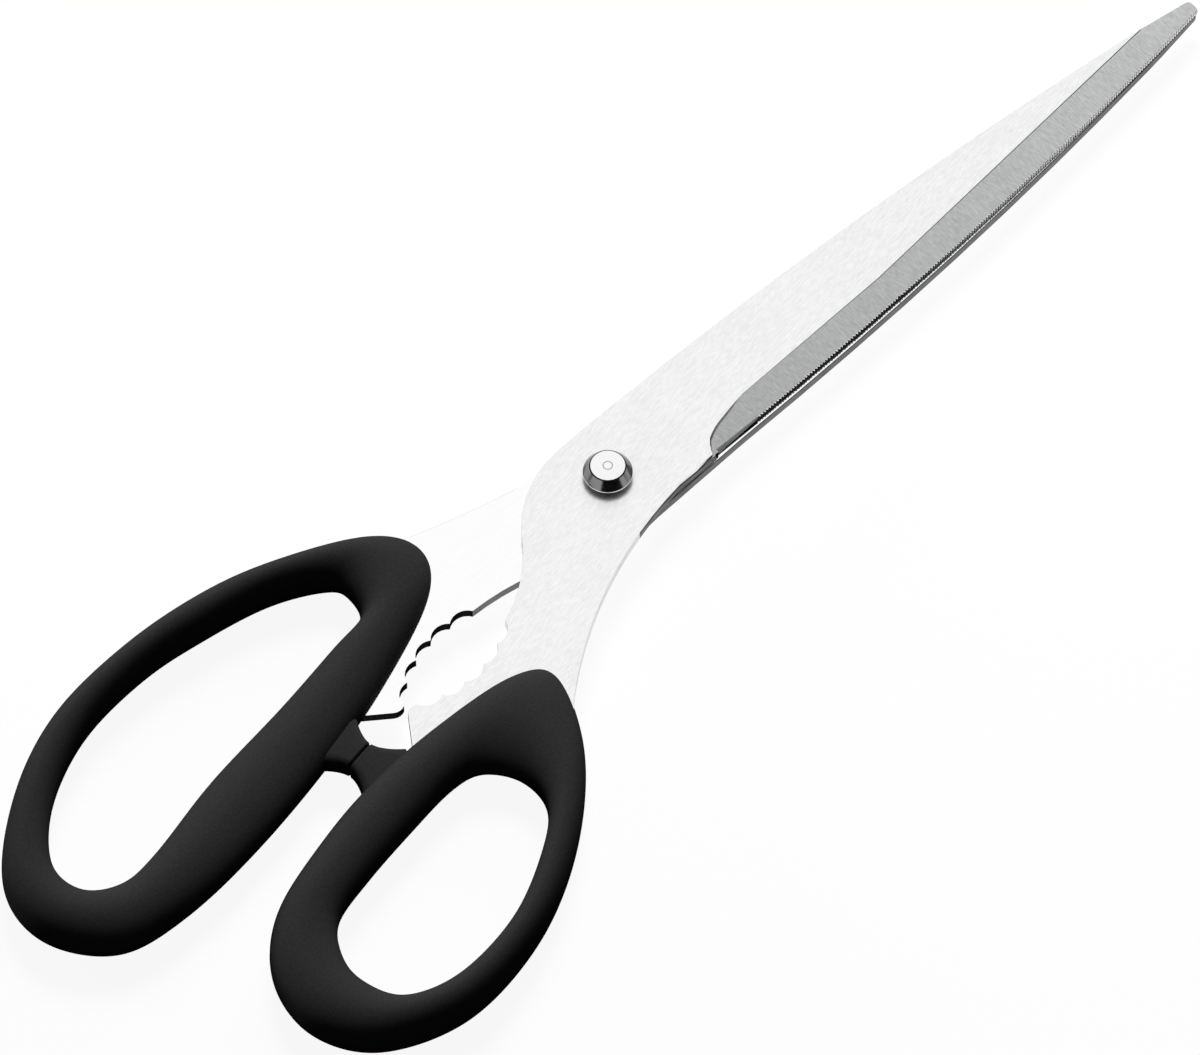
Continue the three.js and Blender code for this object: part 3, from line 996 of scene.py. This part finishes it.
# Painted shade: near-black steel for the head's broken edge and the front washer
pivot_shade_ring = turned_steel("pivot_ring_painted_shade", 0.02, (0.3, 0.4), 0.002 * MM, 0.1 * MM)
# Painted shade: the turned centre mark is painted greyer
pivot_mark = turned_steel("pivot_centre_mark", 0.5, (0.3, 0.4), 0.001 * MM, 0.1 * MM)
spring_steel = turned_steel("spring_washer_steel", 0.42, (0.3, 0.4), 0.003 * MM, 0.1 * MM)
soft_touch = moulded(
    "bow_soft_touch",
    grey(0.036),
    grey(0.046),
    (0.7, 0.8),
    0.012 * MM,
    0.0,
    Grain=3000,
    Cloud=110,
)
hard_core = moulded(
    "bow_core_moulded",
    grey(0.012),
    grey(0.016),
    (0.45, 0.55),
    0.01 * MM,
    0.5,
    Grain=2500,
    Cloud=90,
)


# Pieces
def dress(piece, node, body, materials):
    piece.data.materials.clear()
    for material in materials:
        piece.data.materials.append(material)
    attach(piece, body)
    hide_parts(node)


BLADE_FINISHES_AND_SHADES = (
    blade_flat,
    blade_inner,
    blade_ground,
    blade_deep_shade,
    blade_half_shade,
    blade_lit_wall,
    blade_shade_line,
    blade_tooth_glint,
    blade_rolled,
    blade_flank,
)


def dress_by_face(piece, node, body, materials, finish):
    dress(piece, node, body, materials)
    for face in piece.data.polygons:
        face.material_index = finish(face)


def dress_blade(name, node, body, outward):
    piece = blade(name, node, outward)
    dress_by_face(
        piece,
        node,
        body,
        BLADE_FINISHES_AND_SHADES,
        lambda face: face_finish_and_shade(face, outward),
    )


dress_blade("front_blade_ground", "front_blade", "front_half", 1)
dress_blade("rear_blade_ground", "rear_blade", "rear_half", -1)

finger = bow("finger_bow_skin", FINGER_BOW, 1)
dress(finger, "finger_grip", "rear_half", [soft_touch])
thumb = bow("thumb_bow_skin", THUMB_BOW, -1)
dress(thumb, "thumb_grip", "front_half", [soft_touch])

barrel = turned_piece("pivot_head", BARREL)
HEAD_FINISHES_AND_SHADES = (pivot_steel, pivot_cone_shade, pivot_mark, pivot_shade_ring)
dress_by_face(barrel, "pivot_barrel", "rear_half", HEAD_FINISHES_AND_SHADES, head_light_and_shade)
washer = turned_piece("pivot_front_ring", FRONT_WASHER)
# The front washer is painted near-black, as painted shade
dress(washer, "front_washer", "rear_half", [pivot_shade_ring])
dished = turned_piece("pivot_dished_ring", SPRING_WASHER)
dress(dished, "spring_washer", "rear_half", [spring_steel])


def slotted_screw(name):
    screw = turned_piece(name, SCREW)
    clear_selection()
    foot = PIVOT + UP * SCREW[-1][1] * MM
    bpy.ops.mesh.primitive_cube_add(size=1, location=foot)
    cutter = bpy.context.object
    cutter.scale = (3 * SCREW[-2][0] * MM, SLOT_WIDTH * MM, 2 * SLOT_DEPTH * MM)
    bpy.ops.object.transform_apply(location=True, rotation=True, scale=True)
    combine(screw, cutter, "DIFFERENCE")
    settle(screw, name)
    return screw


screw = slotted_screw("pivot_slotted_screw")
dress(screw, "pivot_screw", "rear_half", [pivot_steel])

for core in ("finger_core", "thumb_core"):
    frame["nodes"][core].data.materials.clear()
    frame["nodes"][core].data.materials.append(hard_core)

# Floor: white where it is seen, and grey as a source of bounced light
FLOOR_SIZE = 8.0
FLOOR_GLOW = 0.92
FLOOR_SEEN = 0.11
FLOOR_BOUNCE = 0.04


def seen_directly(tree):
    path = add_node(tree, "ShaderNodeLightPath")
    first = add_node(tree, "ShaderNodeMath", operation="MAXIMUM")
    both = add_node(tree, "ShaderNodeMath", operation="MAXIMUM")
    tree.links.new(path.outputs["Is Camera Ray"], first.inputs[0])
    tree.links.new(path.outputs["Is Glossy Ray"], first.inputs[1])
    tree.links.new(first.outputs["Value"], both.inputs[0])
    tree.links.new(path.outputs["Is Transmission Ray"], both.inputs[1])
    return both.outputs["Value"]


def make_floor():
    clear_selection()
    bpy.ops.mesh.primitive_plane_add(size=FLOOR_SIZE, location=(0, 0, 0))
    floor = bpy.context.object
    floor.name = "floor"
    material = bpy.data.materials.new("pale_floor")
    material.use_nodes = True
    tree = material.node_tree
    tree.nodes.clear()
    out = add_node(tree, "ShaderNodeOutputMaterial")
    bounce = add_node(tree, "ShaderNodeBsdfDiffuse")
    bounce.inputs["Color"].default_value = (*grey(FLOOR_BOUNCE), 1)
    seen = add_node(tree, "ShaderNodeBsdfDiffuse")
    seen.inputs["Color"].default_value = (*grey(FLOOR_SEEN), 1)
    glow = add_node(tree, "ShaderNodeEmission")
    glow.inputs["Strength"].default_value = FLOOR_GLOW
    white = add_node(tree, "ShaderNodeAddShader")
    either = add_node(tree, "ShaderNodeMixShader")
    link = tree.links.new
    link(seen.outputs["BSDF"], white.inputs[0])
    link(glow.outputs["Emission"], white.inputs[1])
    link(seen_directly(tree), either.inputs["Fac"])
    link(bounce.outputs["BSDF"], either.inputs[1])
    link(white.outputs["Shader"], either.inputs[2])
    link(either.outputs["Shader"], out.inputs["Surface"])
    floor.data.materials.append(material)


# World: white where it is seen, and a dimmer grey as light
WORLD_LIGHT = 0.04


def make_world():
    world = bpy.data.worlds.new("studio")
    bpy.context.scene.world = world
    world.use_nodes = True
    tree = world.node_tree
    back = tree.nodes["Background"]
    back.inputs["Color"].default_value = (1, 1, 1, 1)
    strength = add_node(tree, "ShaderNodeMapRange")
    strength.inputs["To Min"].default_value = WORLD_LIGHT
    strength.inputs["To Max"].default_value = 1
    tree.links.new(seen_directly(tree), strength.inputs["Value"])
    tree.links.new(strength.outputs["Result"], back.inputs["Strength"])


LAMP_DISTANCE = 0.9


def softbox(name, right, up, height, size, watts):
    light = bpy.data.lights.new(name, "AREA")
    light.shape = "DISK"
    light.size = size
    light.energy = watts
    lamp = bpy.data.objects.new(name, light)
    bpy.context.scene.collection.objects.link(lamp)
    direction = (PICTURE_RIGHT * right + PICTURE_UP * up + UP * height).normalized()
    lamp.location = AIM + direction * LAMP_DISTANCE
    lamp.rotation_euler = direction.to_track_quat("Z", "Y").to_euler()
    return lamp


def make_camera():
    lens = bpy.data.cameras.new("camera")
    lens.lens = LENS_MM
    lens.sensor_width = SENSOR_MM
    lens.clip_start = CLIP_NEAR
    lens.clip_end = CLIP_FAR
    camera = bpy.data.objects.new("camera", lens)
    bpy.context.scene.collection.objects.link(camera)
    camera.location = AIM + TOWARDS_CAMERA * CAMERA_DISTANCE
    camera.rotation_euler = TOWARDS_CAMERA.to_track_quat("Z", "Y").to_euler()
    bpy.context.scene.camera = camera


make_floor()
make_world()
make_camera()
far = softbox("far_softbox", right=0.0, up=0.64, height=0.77, size=0.4, watts=5.7)
right = softbox("right_softbox", right=0.32, up=0.88, height=0.34, size=0.3, watts=2.6)
left = softbox("left_softbox", right=-0.857, up=0.5, height=0.14, size=0.16, watts=2.9)
for lamp in (far, right, left):
    lamp.visible_glossy = False


# Dark cards about the object, which only metal sees: bearings from the camera's side, and height
CARD_DISTANCE = 0.9
CAMERA_CARD = 0.5
CARD_BEHIND_CAMERA = 0.1
CARD_GREY = 0.02
DARK_CARDS = (
    (-135, -78, 0.65),
    (-26, 58, 0.65),
    (82, 135, 0.65),
    (138, 222, 0.33),
)


def dark_card(place, outward, width, height, material):
    clear_selection()
    facing = (-outward).to_track_quat("Z", "Y").to_euler()
    bpy.ops.mesh.primitive_plane_add(size=1, location=place, rotation=facing)
    card = bpy.context.object
    card.name = "dark_card"
    card.dimensions = (width, height, 0)
    card.data.materials.append(material)
    card.visible_camera = False
    card.visible_diffuse = False
    card.visible_shadow = False


def dark_cards():
    material, tree, shader = new_material("dark_card")
    shader.inputs["Base Color"].default_value = (*grey(CARD_GREY), 1)
    shader.inputs["Specular IOR Level"].default_value = 0
    for start, end, height in DARK_CARDS:
        bearing = math.radians((start + end) / 2)
        outward = PICTURE_RIGHT * math.sin(bearing) - PICTURE_UP * math.cos(bearing)
        place = AIM + outward * CARD_DISTANCE
        place.z = height / 2
        width = 2 * CARD_DISTANCE * math.tan(math.radians(end - start) / 2)
        dark_card(place, outward, width, height, material)
    place = AIM + TOWARDS_CAMERA * (CAMERA_DISTANCE + CARD_BEHIND_CAMERA)
    dark_card(place, TOWARDS_CAMERA, CAMERA_CARD, CAMERA_CARD, material)


dark_cards()
bpy.context.scene.view_settings.view_transform = "Standard"
